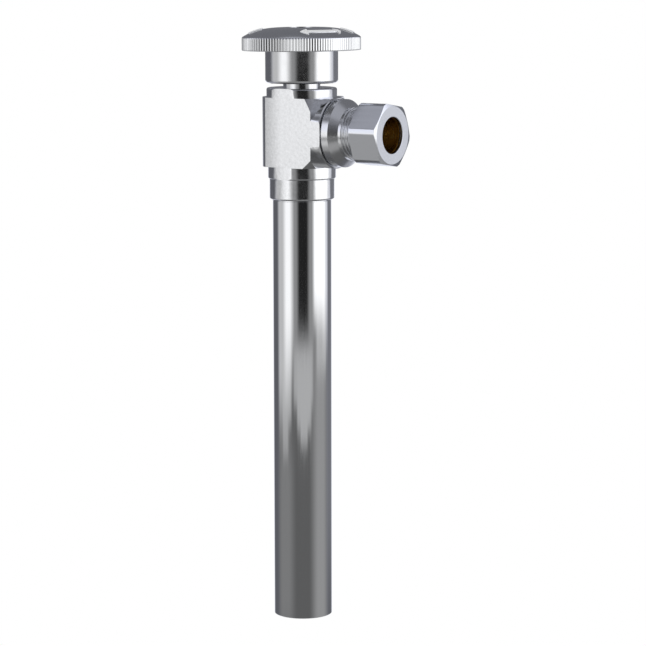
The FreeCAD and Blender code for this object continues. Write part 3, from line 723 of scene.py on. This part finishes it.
class VALVE_OT_adapter(bpy.types.Operator):
    """Makes the outlet adapter with its helical thread"""
    bl_idname = "valve.adapter"
    bl_label = "Outlet adapter"

    def execute(self, context):
        """The section's outline, rounded and carried round the outlet's axis, less the thread."""
        flange_start = BRANCH_END_X + FLANGE_GAP_LENGTH
        flange_end = flange_start + FLANGE_LENGTH
        cone_end = flange_end + CONE_LENGTH
        socket_floor = THREAD_END_X - SOCKET_DEPTH
        groove_start = BRANCH_END_X - SEAL_SETBACK - SEAL_GROOVE_WIDTH / 2
        groove_end = groove_start + SEAL_GROOVE_WIDTH
        groove_floor = SPIGOT_R - SEAL_GROOVE_DEPTH
        corners, rounds = outline(
            (ADAPTER_WAY_R, ADAPTER_NOSE_X, 0), (SPIGOT_R, ADAPTER_NOSE_X, 0),
            (SPIGOT_R, groove_start, 0), (groove_floor, groove_start, 0),
            (groove_floor, groove_end, 0), (SPIGOT_R, groove_end, 0),
            (SPIGOT_R, BRANCH_END_X, 0), (FLANGE_GAP_R, BRANCH_END_X, 0),
            (FLANGE_GAP_R, flange_start, 0), (ADAPTER_FLANGE_R, flange_start, FLANGE_BACK_ROUND),
            (ADAPTER_FLANGE_R, flange_end, SHOULDER_ROUND), (THREAD_R, cone_end, SHOULDER_ROUND),
            (THREAD_R, THREAD_END_X, SHOULDER_ROUND),
            (OUTLET_BORE_R + MOUTH_RISE, THREAD_END_X, MOUTH_ROUND),
            (OUTLET_BORE_R, THREAD_END_X - MOUTH_LENGTH, 0), (OUTLET_BORE_R, socket_floor, 0),
            (ADAPTER_WAY_R, socket_floor, 0))
        path = self.threaded(rounded_path(corners, rounds), cone_end)
        rings = turned_rings(path, ADAPTER_COLUMNS, UP * OUTLET_Z, OUT)
        # Chrome on a turned bar, plated as it came off the lathe: satin, with its finest rings lost
        look = turned_chrome("chrome_on_turned_adapter", roughness=(0.18, 0.24), feed_mm=1.885,
                             depth_mm=0.001, axis="X")
        piece = closed_surface("outlet_adapter_shell", rings, look)
        finish_piece(piece, "valve", "plated_adapter", "outlet_adapter")
        return {"FINISHED"}

    def threaded(self, path, cone_end):
        """The path with rows for a thread laid in after the cone, and its columns spread.

        A triangle wave runs once per pitch along the axis and once per turn round it. Its
        flank times the wave, less its crest, kept from 0 to 1, is the share of the thread's
        depth that is taken off the radius. It fades over a short way at both ends.
        """
        pitch = size_in_mm("thread_pitch")
        steps = int((THREAD_END_X - cone_end) / pitch * THREAD_ROWS_PER_TURN)
        along = np.linspace(cone_end + THREAD_MARGIN, THREAD_END_X - THREAD_MARGIN, steps)
        thread = np.stack([np.full(steps, THREAD_R), along], -1)[:, None, :]
        first = 1 + next(i for i, (radius, x) in enumerate(path[:, 0])
                         if radius < THREAD_R + CLOSE and x > cone_end)
        path = np.concatenate([path[:first], thread, path[first:]])
        path = np.repeat(path, ADAPTER_COLUMNS, axis=1)
        rows = slice(first, first + steps)
        x = path[rows, :, 1]
        phase = (x / pitch - np.arange(ADAPTER_COLUMNS)[None] / ADAPTER_COLUMNS) % 1
        groove = 1 - np.abs(2 * phase - 1)
        fade_in = np.clip((x - cone_end - THREAD_LAND) / THREAD_RUN_IN, 0, 1)
        fade_out = np.clip((THREAD_END_X - THREAD_END_LAND - x) / THREAD_RUN_OUT, 0, 1)
        cut = np.clip(THREAD_FLANK * groove - THREAD_CREST, 0, 1) * fade_in * fade_out
        path[rows, :, 0] -= size_in_mm("thread_depth") * cut
        return path


class VALVE_OT_nut(bpy.types.Operator):
    """Makes the hexagon compression nut"""
    bl_idname = "valve.nut"
    bl_label = "Compression nut"

    def execute(self, context):
        """The wall's outline at each angle round the outlet's axis.

        The face's chamfer drops by the tangent of its angle times how far the hexagon
        stands out past the face's circle, and the back's in the same way past its own.
        """
        turn, hexagon = self.hexagon_columns()
        back_r = np.minimum(hexagon - NUT_BACK_LEAST, NUT_BACK_R)
        drop = (hexagon - NUT_FACE_R) * math.tan(math.radians(NUT_CHAMFER_ANGLE))
        back_drop = (hexagon - back_r) * math.tan(math.radians(NUT_BACK_ANGLE))
        lip_x = NUT_END_X - NUT_LIP
        cone_x = lip_x - NUT_CONE_RISE
        table = (
            (NUT_BORE_R, NUT_START_X, NUT_BORE_ROUND), (back_r, NUT_START_X, NUT_BACK_ROUND),
            (hexagon, NUT_START_X + back_drop, NUT_BACK_ROUND),
            (hexagon, NUT_END_X - drop, NUT_CHAMFER_ROUND), (NUT_FACE_R, NUT_END_X, NUT_FACE_ROUND),
            (OUTLET_BORE_R, NUT_END_X, NUT_HOLE_ROUND), (OUTLET_BORE_R, lip_x, NUT_LIP_ROUND),
            (OUTLET_BORE_R + NUT_CONE_RISE, cone_x, 0), (NUT_BORE_R, cone_x, 0))
        corners = np.array([np.broadcast_arrays(radius, x, hexagon)[:2] for radius, x, _ in table])
        path = rounded_path(corners.transpose(0, 2, 1), [radius for _, _, radius in table])
        direction = np.stack([0 * turn, np.cos(turn), np.sin(turn)], -1)
        rings = UP * OUTLET_Z + path[..., 1:] * OUT + path[..., :1] * direction[None]
        piece = closed_surface("compression_nut_shell", rings, finish("satin_chrome_on_hexagon_bar"))
        finish_piece(piece, "nut", "plated_nut", "compression_nut")
        return {"FINISHED"}

    def hexagon_columns(self):
        """Angles and radii round a hexagon with turned corners.

        The flat's radius is its distance over the cosine of the angle from its middle, and
        the corner's is constant. A soft minimum of the two, less the logarithm of the sum
        of their falling exponentials over a sharpness, blends them with a small round.
        """
        sharpness = CORNER_SHARPNESS / size_in_mm("edge_round")
        from_middle = np.radians(np.concatenate([
            np.linspace(0, FLAT_ANGLE, FLAT_COLUMNS)[:-1],
            np.linspace(FLAT_ANGLE, HALF_SIDE_ANGLE, CORNER_COLUMNS)]))
        side = np.concatenate([-from_middle[:0:-1], from_middle[:-1]])
        flat = NUT_ACROSS_FLATS / 2 / np.cos(side)
        radius = -np.log(np.exp(-sharpness * (flat - NUT_CORNER_R)) + 1) / sharpness + NUT_CORNER_R
        middles = np.radians(NUT_FIRST_FLAT - NUT_RAISED_ANGLE + 2 * HALF_SIDE_ANGLE * np.arange(6))
        return (middles[:, None] + side[None]).ravel(), np.tile(radius, 6)


class VALVE_OT_ferrule(bpy.types.Operator):
    """Makes the brass ferrule"""
    bl_idname = "valve.ferrule"
    bl_label = "Ferrule"

    def execute(self, context):
        """The ring's outline, a cone at each end, rounded and carried round the outlet's axis."""
        nose_r = OUTLET_BORE_R + FERRULE_NOSE_RISE
        rise = FERRULE_R - nose_r
        slope = MOUTH_LENGTH / MOUTH_RISE
        corners, rounds = outline(
            (OUTLET_BORE_R, FERRULE_NOSE_X, FERRULE_END_ROUND), (nose_r, FERRULE_NOSE_X, FERRULE_END_ROUND),
            (FERRULE_R, FERRULE_NOSE_X + slope * rise, FERRULE_SHOULDER_ROUND),
            (FERRULE_R, FERRULE_TAIL_X - rise, FERRULE_SHOULDER_ROUND),
            (nose_r, FERRULE_TAIL_X, FERRULE_END_ROUND), (OUTLET_BORE_R, FERRULE_TAIL_X, FERRULE_END_ROUND))
        rings = turned_rings(rounded_path(corners, rounds), FERRULE_COLUMNS, UP * OUTLET_Z, OUT)
        piece = closed_surface("ferrule_ring", rings, finish("turned_brass_ferrule"))
        finish_piece(piece, "ferrule", "ferrule_brass", "ferrule")
        return {"FINISHED"}


def dome_z(x, y):
    """The dome's height over the oval's own axes: its rise times one less a power of the oval's share."""
    share = np.hypot(x / (OVAL_LONG - DOME_INSET), y / (OVAL_SHORT - DOME_INSET))
    return SKIRT_Z + SKIRT_HEIGHT + RIM_HEIGHT + DOME_RISE * (1 - np.minimum(share, 1)**DOME_POWER)


def handle_turned(points):
    """Points over the oval's own axes, turned to the handle's angle."""
    angle = math.radians(OVAL_ANGLE)
    cos, sin = math.cos(angle), math.sin(angle)
    x, y, z = points[..., 0], points[..., 1], points[..., 2]
    return np.stack([x * cos - y * sin, x * sin + y * cos, z], -1)


def even_oval(count):
    """Turns round the oval that step by equal lengths of its edge, and the edge's whole length."""
    fine = np.linspace(0, 2 * np.pi, OVAL_FINE_POINTS)
    speed = np.hypot(OVAL_LONG * np.sin(fine), OVAL_SHORT * np.cos(fine))
    length = np.concatenate([[0], np.cumsum((speed[1:] + speed[:-1]) / 2 * np.diff(fine))])
    return np.interp(length[-1] * np.arange(count) / count, length, fine), length[-1]


class VALVE_OT_handle(bpy.types.Operator):
    """Makes the oval handle with its knurled rim"""
    bl_idname = "valve.handle"
    bl_label = "Handle"

    def execute(self, context):
        """One closed skin of rings, from the screw's seat over the dome to the socket under the seat.

        Each ring is a circle, or the oval less an inset and the knurl's wave, at a height.
        Over the dome the rings lie at shares of the way from the screw's pocket to its foot.
        The rim's upper edge is an arc from the dome's slope to upright.
        """
        turn, wave = self.knurl()
        bearing = np.arctan2(OVAL_SHORT * np.sin(turn), OVAL_LONG * np.cos(turn))
        knurl_depth = size_in_mm("knurl_depth")
        rim_z = SKIRT_Z + SKIRT_HEIGHT
        rim_top = rim_z + RIM_HEIGHT
        pocket_z = rim_z + RIM_POCKET_DEPTH
        seat_z = rim_top + DOME_RISE - SCREW_SEAT_DEPTH
        roof_z = seat_z - DOME_ROOF

        def circle(radius, z):
            """A ring at a radius, or one radius per bearing."""
            return np.stack([radius * np.cos(bearing), radius * np.sin(bearing), z + 0 * turn], -1)

        def oval(inset, z, knurl=0.0):
            """The oval's edge moved inwards by an inset and by a share of the knurl."""
            push = inset + knurl * knurl_depth * wave
            x = (OVAL_LONG - push) * np.cos(turn)
            y = (OVAL_SHORT - push) * np.sin(turn)
            return np.stack([x, y, np.full_like(turn, z)], -1)

        rows = [circle(SCREW_HOLE_R, seat_z), circle(SCREW_POCKET_R, seat_z)]
        inner = circle(SCREW_POCKET_R, 0)
        foot = oval(DOME_INSET, 0)
        for share in DOME_SHARES:
            row = inner + (foot - inner) * share
            row[:, 2] = dome_z(row[:, 0], row[:, 1])
            rows.append(row)

        slope = math.atan(DOME_RISE * DOME_POWER / OVAL_LONG)
        edge = DOME_INSET / (1 - math.sin(slope))
        for share in np.linspace(0, 1, RIM_EDGE_ROWS + 1)[1:]:
            bend = slope + (math.pi / 2 - slope) * share
            drop = edge * (math.cos(slope) - math.cos(bend))
            rows.append(oval(edge * (1 - math.sin(bend)), rim_top - drop, share))
        rows += [oval(0.0, z, 1.0)
                 for z in np.linspace(rim_top - RIM_ROWS_TOP, rim_z + RIM_ROWS_FOOT, RIM_ROWS)]
        rows += [oval(inset, rim_z + height, share) for inset, height, share in RIM_LOWER_EDGE]

        rows += [oval(RIM_WALL - POCKET_RIM_ROUND, rim_z), oval(RIM_WALL, rim_z + POCKET_RIM_ROUND),
                 oval(RIM_WALL, pocket_z - POCKET_ROUND), oval(RIM_WALL + POCKET_ROUND, pocket_z),
                 circle(SKIRT_R + POCKET_SKIRT_ROUND, pocket_z),
                 circle(SKIRT_R, pocket_z - POCKET_SKIRT_ROUND)]
        for bend in np.linspace(0, np.pi / 2, SKIRT_LIP_ROWS):
            rows.append(circle(SKIRT_R - SKIRT_LIP + SKIRT_LIP * math.cos(bend),
                               SKIRT_Z + SKIRT_LIP - SKIRT_LIP * math.sin(bend)))
        rows += self.hollow(circle, bearing, roof_z)
        rings = handle_turned(np.stack(rows))
        # Chrome on a die casting, tumbled and plated: bright, and softened by its faintly uneven skin
        look = turned_chrome("chrome_on_die_cast_handle", roughness=(0.11, 0.17), feed_mm=3.142,
                             depth_mm=0.0006, axis="Z")
        piece = closed_surface("oval_handle", rings, look)
        finish_piece(piece, "handle", "plated_handle", "handle")
        return {"FINISHED"}

    def knurl(self):
        """Turns round the oval, and at each the share of the knurl's depth that is cut away.

        The share is half of one less the cosine of the place within the ridge. Round two
        opposite turns it shrinks to a lesser share, by a smooth step of the cosine of
        twice the turn from there.
        """
        ridges = round(even_oval(1)[1] / size_in_mm("knurl_pitch"))
        turn = even_oval(ridges * KNURL_COLUMNS)[0]
        wave = (1 - np.cos(2 * np.pi * np.arange(len(turn)) / KNURL_COLUMNS)) / 2
        near = np.cos(2 * (turn - math.radians(KNURL_SHALLOW_TURN)))
        near = np.clip((near - KNURL_SHALLOW_START) / KNURL_SHALLOW_SPAN, 0, 1)
        return turn, wave * (1 - (1 - KNURL_SHALLOW_SHARE) * near**2 * (3 - 2 * near))

    def hollow(self, circle, bearing, roof_z):
        """The rings inside: the skirt's bore with its stop lug, the hub and its square socket.

        The lug is a stretch of bearings where the bore steps inwards. The socket's radius
        is half the square's side over the greater of the bearing's cosine and sine, at
        most the radius of its turned corners.
        """
        bore_r = SKIRT_R - SKIRT_WALL
        hub_z = BODY_TOP_Z + HUB_GAP
        socket_z = BODY_TOP_Z + SOCKET_TOP
        lug_z = SKIRT_Z - LUG_DROP
        degrees = np.degrees(bearing) % 360
        lug = (degrees >= LUG_START) & (degrees <= LUG_START + LUG_ANGLE)
        stepped_r = np.where(lug, bore_r - LUG_REACH, bore_r)
        square = SOCKET_SQUARE / 2 / np.maximum(np.abs(np.cos(bearing)), np.abs(np.sin(bearing)))
        square = np.minimum(square, SOCKET_CORNER_R)
        return [
            circle(np.where(lug, bore_r + LUG_ROOT, bore_r + SKIRT_MOUTH_CHAMFER), SKIRT_Z),
            circle(np.where(lug, bore_r + LUG_ROOT, bore_r),
                   np.where(lug, lug_z, SKIRT_Z + SKIRT_MOUTH_CHAMFER)),
            circle(stepped_r, np.where(lug, lug_z, SKIRT_Z + 2 * SKIRT_MOUTH_CHAMFER)),
            circle(stepped_r, roof_z), circle(HUB_R, roof_z), circle(HUB_R, hub_z),
            circle(square, hub_z), circle(square, socket_z), circle(SCREW_HOLE_R, socket_z)]


class VALVE_OT_marks(bpy.types.Operator):
    """Raises a curved double arrow and index bars on each side of the handle's dome"""
    bl_idname = "valve.marks"
    bl_label = "Handle marks"

    def execute(self, context):
        """The arrow runs along a share of the oval, and each bar along a ray between two shares."""
        look = raised_marks()
        size = np.array([OVAL_LONG, OVAL_SHORT])
        for side in (0, 180):
            turn = np.radians(side + np.linspace(*ARROW_BEARINGS, ARROW_POINTS))
            arc = np.stack([np.cos(turn), np.sin(turn)], -1) * size * ARROW_SHARE
            self.ribbon(f"arrow_{side}", arc, ARROW_HALF_WIDTH, ARROW_HEAD_HALF,
                        ARROW_HEAD_LENGTH, look)
            for index, bearing in enumerate(BAR_BEARINGS):
                angle = math.radians(side + bearing)
                way = np.array([math.cos(angle), math.sin(angle)]) * size
                bar = way[None] * np.linspace(*BAR_SHARES, BAR_POINTS)[:, None]
                self.ribbon(f"bar_{side}_{index}", bar, BAR_HALF_WIDTH, BAR_HALF_WIDTH,
                            BAR_TIP_LENGTH, look)
        return {"FINISHED"}

    def ribbon(self, name, centre, half, head_half, head_length, look):
        """A raised ribbon along a line over the dome, with a pointed head at each end.

        Its half width grows evenly with the distance from the nearer end up to the head's,
        and is the shaft's from there on. Across it, the height rises from under the dome
        along a steep side to a flat top with small bevels.
        """
        step = np.linalg.norm(np.diff(centre, axis=0), axis=1)
        length = np.concatenate([[0], np.cumsum(step)])
        whole = length[-1]
        shaft_start = head_length + MARK_HEAD_GAP
        shaft = np.linspace(shaft_start, whole - shaft_start, MARK_SHAFT_ROWS)
        head = np.linspace(0.0, head_length, MARK_HEAD_ROWS)
        place = np.concatenate([head, shaft, whole - head[::-1]])
        near_end = np.minimum(place, whole - place)
        width = np.where(near_end <= head_length + CLOSE, head_half * near_end / head_length, half)
        middle = np.stack([np.interp(place, length, centre[:, k]) for k in range(2)], -1)
        ahead = np.gradient(middle, place, axis=0)
        ahead /= np.linalg.norm(ahead, axis=1, keepdims=True)
        across = np.stack([-ahead[:, 1], ahead[:, 0]], -1)
        spot = middle[:, None] + across[:, None] * width[:, None, None] * MARK_SECTION[None, :, :1]
        rise = size_in_mm("mark_height") * np.minimum(width / half, 1)
        z = dome_z(spot[..., 0], spot[..., 1]) + MARK_SECTION[None, :, 1] * rise[:, None]
        rings = handle_turned(np.concatenate([spot, z[..., None]], -1))
        finish_piece(capped_surface(name, rings, look), "handle", "plated_handle")


# The finishes of the pieces that keep their CAD mesh
INNER_FINISHES = {
    "back_seat": "moulded_fluoroplastic",
    "outlet_seat": "moulded_fluoroplastic",
    "stem_thrust_washer": "moulded_fluoroplastic",
    "stem_seal_lower": "moulded_nitrile_rubber",
    "stem_seal_upper": "moulded_nitrile_rubber",
    "adapter_seal": "moulded_nitrile_rubber",
    "ball": "polished_plated_ball",
    "stem": "turned_brass_stem",
    "handle_screw": "zinc_plated_screw",
}


class VALVE_OT_inner_parts(bpy.types.Operator):
    """Gives the inner pieces and the screw their finishes"""
    bl_idname = "valve.inner_parts"
    bl_label = "Inner parts"

    def execute(self, context):
        """Like pieces share one material."""
        looks = {name: finish(name) for name in dict.fromkeys(INNER_FINISHES.values())}
        for node, name in INNER_FINISHES.items():
            materials = frame["nodes"][node].data.materials
            materials.clear()
            materials.append(looks[name])
        return {"FINISHED"}


def smooth_rise(zero_at, one_at):
    """The settings of a smooth rise from 0 to 1 between two places."""
    return {"interpolation_type": "SMOOTHSTEP", "From Min": zero_at, "From Max": one_at}


class VALVE_OT_studio(bpy.types.Operator):
    """Sets the camera, the pale floor and the soft studio round the valve"""
    bl_idname = "valve.studio"
    bl_label = "Studio"

    def execute(self, context):
        """The camera, the floor and the world, in this order."""
        scene = context.scene
        scene.view_settings.view_transform = "Standard"
        self.camera(scene)
        self.floor(scene)
        self.world(scene)
        return {"FINISHED"}

    def camera(self, scene):
        """The camera stands at the photograph's bearing, turned by its pan, pitch and roll."""
        data = bpy.data.cameras.new("photo_camera")
        data.sensor_width = SENSOR_MM
        data.lens = CAMERA_FOCAL_PIXELS / PHOTO_PIXELS * SENSOR_MM
        data.clip_start = CAMERA_NEAR_M
        data.clip_end = CAMERA_FAR_M
        pan = math.radians(CAMERA_PAN)
        pitch = math.radians(CAMERA_PITCH)
        roll = math.radians(CAMERA_ROLL)
        ahead = Vector((math.sin(pan) * math.cos(pitch), math.cos(pan) * math.cos(pitch), -math.sin(pitch)))
        right = Vector((math.cos(pan), -math.sin(pan), 0))
        upward = right.cross(ahead)
        rolled_right = right * math.cos(roll) + upward * math.sin(roll)
        rolled_up = upward * math.cos(roll) - right * math.sin(roll)
        turn = Matrix.Rotation(math.radians(CAMERA_AZIMUTH), 3, "Z")
        axes = [turn @ axis for axis in (rolled_right, rolled_up, -ahead)]
        place = turn @ Vector((0, -CAMERA_DISTANCE * MM, CAMERA_HEIGHT * MM))
        rows = [[axis[r] for axis in axes] + [place[r]] for r in range(3)]
        camera = bpy.data.objects.new("photo_camera", data)
        scene.collection.objects.link(camera)
        camera.matrix_world = Matrix(rows + [[0, 0, 0, 1]])
        scene.camera = camera

    def floor(self, scene):
        """A wide pale floor under the tube's end, plain white to the camera and not mirrored."""
        half = FLOOR_HALF_M
        mesh = bpy.data.meshes.new("studio_floor")
        mesh.from_pydata([(-half, -half, 0), (half, -half, 0), (half, half, 0), (-half, half, 0)], [],
                         [(0, 1, 2, 3)])
        floor = bpy.data.objects.new("studio_floor", mesh)
        scene.collection.objects.link(floor)
        material, tree, shader, _ = new_material("pale_paper_floor", colour_of("floor"), 0.0)
        shader.inputs["Roughness"].default_value = 0.9
        path = add_node(tree, "ShaderNodeLightPath")
        white = add_node(tree, "ShaderNodeEmission", {"Color": WHITE, "Strength": 1.0})
        both = add_node(tree, "ShaderNodeMixShader", links={
            0: path.outputs["Is Camera Ray"], 1: shader.outputs["BSDF"], 2: white.outputs["Emission"]})
        output = next(n for n in tree.nodes if n.type == "OUTPUT_MATERIAL")
        tree.links.new(both.outputs[0], output.inputs["Surface"])
        mesh.materials.append(material)
        floor.visible_glossy = False

    def world(self, scene):
        """White to the camera, even soft light to matt surfaces, and the panels to the plating.

        A direction's bearing is the arctangent of its X over its negative Y, and its
        elevation the arcsine of its Z.
        """
        world = bpy.data.worlds.new("soft_studio")
        scene.world = world
        world.use_nodes = True
        tree = world.node_tree
        tree.nodes.clear()
        place = add_node(tree, "ShaderNodeTexCoord")
        parts = add_node(tree, "ShaderNodeSeparateXYZ", links={"Vector": place.outputs["Generated"]})
        back = add_node(tree, "ShaderNodeMath", {"operation": "MULTIPLY", 1: -1.0}, {0: parts.outputs["Y"]})
        bearing = add_node(tree, "ShaderNodeMath", {"operation": "ARCTAN2"},
                           {0: parts.outputs["X"], 1: back.outputs[0]})
        bearing = add_node(tree, "ShaderNodeMath", {"operation": "DEGREES"}, {0: bearing.outputs[0]})
        rise = add_node(tree, "ShaderNodeMath", {"operation": "ARCSINE"}, {0: parts.outputs["Z"]})
        rise = add_node(tree, "ShaderNodeMath", {"operation": "DEGREES"}, {0: rise.outputs[0]})
        light = None
        for row in STUDIO_PANELS:
            light = self.panel(tree, light, bearing, rise, *row)
        upward = add_node(tree, "ShaderNodeMapRange", smooth_rise(*COOL_ELEVATIONS),
                          {"Value": rise.outputs[0]})
        behind = add_node(tree, "ShaderNodeMapRange", smooth_rise(*COOL_BEARINGS),
                          {"Value": self.away_from(tree, bearing, 0)})
        cool = add_node(tree, "ShaderNodeMath", {"operation": "MAXIMUM"},
                        {0: upward.outputs["Result"], 1: behind.outputs["Result"]})
        tint = add_node(tree, "ShaderNodeMix", {"data_type": "RGBA", 6: WHITE, 7: COOL_LIGHT},
                        {0: cool.outputs[0]})
        mirrored = add_node(tree, "ShaderNodeBackground",
                            links={"Color": tint.outputs[2], "Strength": light})
        even = add_node(tree, "ShaderNodeBackground", {"Color": WHITE, "Strength": MATT_LIGHT})
        white = add_node(tree, "ShaderNodeBackground", {"Color": WHITE, "Strength": 1.0})
        path = add_node(tree, "ShaderNodeLightPath")
        inner = add_node(tree, "ShaderNodeMixShader", links={
            0: path.outputs["Is Glossy Ray"], 1: even.outputs[0], 2: mirrored.outputs[0]})
        outer = add_node(tree, "ShaderNodeMixShader", links={
            0: path.outputs["Is Camera Ray"], 1: inner.outputs[0], 2: white.outputs[0]})
        add_node(tree, "ShaderNodeOutputWorld", links={"Surface": outer.outputs[0]})

    def panel(self, tree, under, bearing, rise, name, middle, half, low, high, side_soft, low_soft, level):
        """Lays one soft-edged panel over what is under it and gives the new brightness."""
        if under is None:
            value = add_node(tree, "ShaderNodeValue", {"label": name})
            value.outputs[0].default_value = level
            return value.outputs[0]
        above = add_node(tree, "ShaderNodeMapRange", smooth_rise(low - low_soft / 2, low + low_soft / 2),
                         {"Value": rise.outputs[0]})
        below = add_node(tree, "ShaderNodeMapRange", smooth_rise(high + low_soft / 2, high - low_soft / 2),
                         {"Value": rise.outputs[0]})
        mask = add_node(tree, "ShaderNodeMath", {"operation": "MULTIPLY"},
                        {0: above.outputs["Result"], 1: below.outputs["Result"]})
        if half < 180:
            across = add_node(tree, "ShaderNodeMapRange",
                              smooth_rise(half + side_soft / 2, half - side_soft / 2),
                              {"Value": self.away_from(tree, bearing, middle)})
            mask = add_node(tree, "ShaderNodeMath", {"operation": "MULTIPLY"},
                            {0: mask.outputs[0], 1: across.outputs["Result"]})
        mix = add_node(tree, "ShaderNodeMix", {"data_type": "FLOAT", "label": name, 3: level},
                       {0: mask.outputs[0], 2: under})
        return mix.outputs[0]

    def away_from(self, tree, bearing, middle):
        """How far a direction's bearing lies from a bearing off the camera's, either way, in degrees."""
        shift = add_node(tree, "ShaderNodeMath", {"operation": "SUBTRACT", 1: middle + CAMERA_AZIMUTH},
                         {0: bearing.outputs[0]})
        wrap = add_node(tree, "ShaderNodeMath", {"operation": "WRAP", 1: 180.0, 2: -180.0},
                        {0: shift.outputs[0]})
        return add_node(tree, "ShaderNodeMath", {"operation": "ABSOLUTE"}, {0: wrap.outputs[0]}).outputs[0]


class VALVE_PT_panel(bpy.types.Panel):
    """Lists the valve's settings and its makers"""
    bl_idname = "VALVE_PT_panel"
    bl_label = "Angle valve"
    bl_space_type = "VIEW_3D"
    bl_region_type = "UI"
    bl_category = "Valve"

    def draw(self, context):
        """The settings in two boxes, then a button for each maker."""
        for group in (context.scene.valve_sizes, context.scene.valve_colours):
            box = self.layout.box()
            for name in group.__annotations__:
                box.prop(group, name)
        for maker in MAKERS:
            self.layout.operator(maker.bl_idname)


MAKERS = (VALVE_OT_studio, VALVE_OT_tube, VALVE_OT_body, VALVE_OT_adapter, VALVE_OT_nut,
          VALVE_OT_ferrule, VALVE_OT_handle, VALVE_OT_marks, VALVE_OT_inner_parts)
CLASSES = (ValveSizes, ValveColours) + MAKERS + (VALVE_PT_panel,)


def register():
    """Registers the classes and hangs the settings on the scene."""
    for cls in CLASSES:
        bpy.utils.register_class(cls)
    bpy.types.Scene.valve_sizes = bpy.props.PointerProperty(type=ValveSizes)
    bpy.types.Scene.valve_colours = bpy.props.PointerProperty(type=ValveColours)


def unregister():
    """Takes the settings and the classes away again."""
    del bpy.types.Scene.valve_colours
    del bpy.types.Scene.valve_sizes
    for cls in reversed(CLASSES):
        bpy.utils.unregister_class(cls)


def main():
    """Makes everything in order."""
    register()
    for maker in MAKERS:
        group, name = maker.bl_idname.split(".")
        getattr(getattr(bpy.ops, group), name)()


if __name__ == "__main__":
    main()
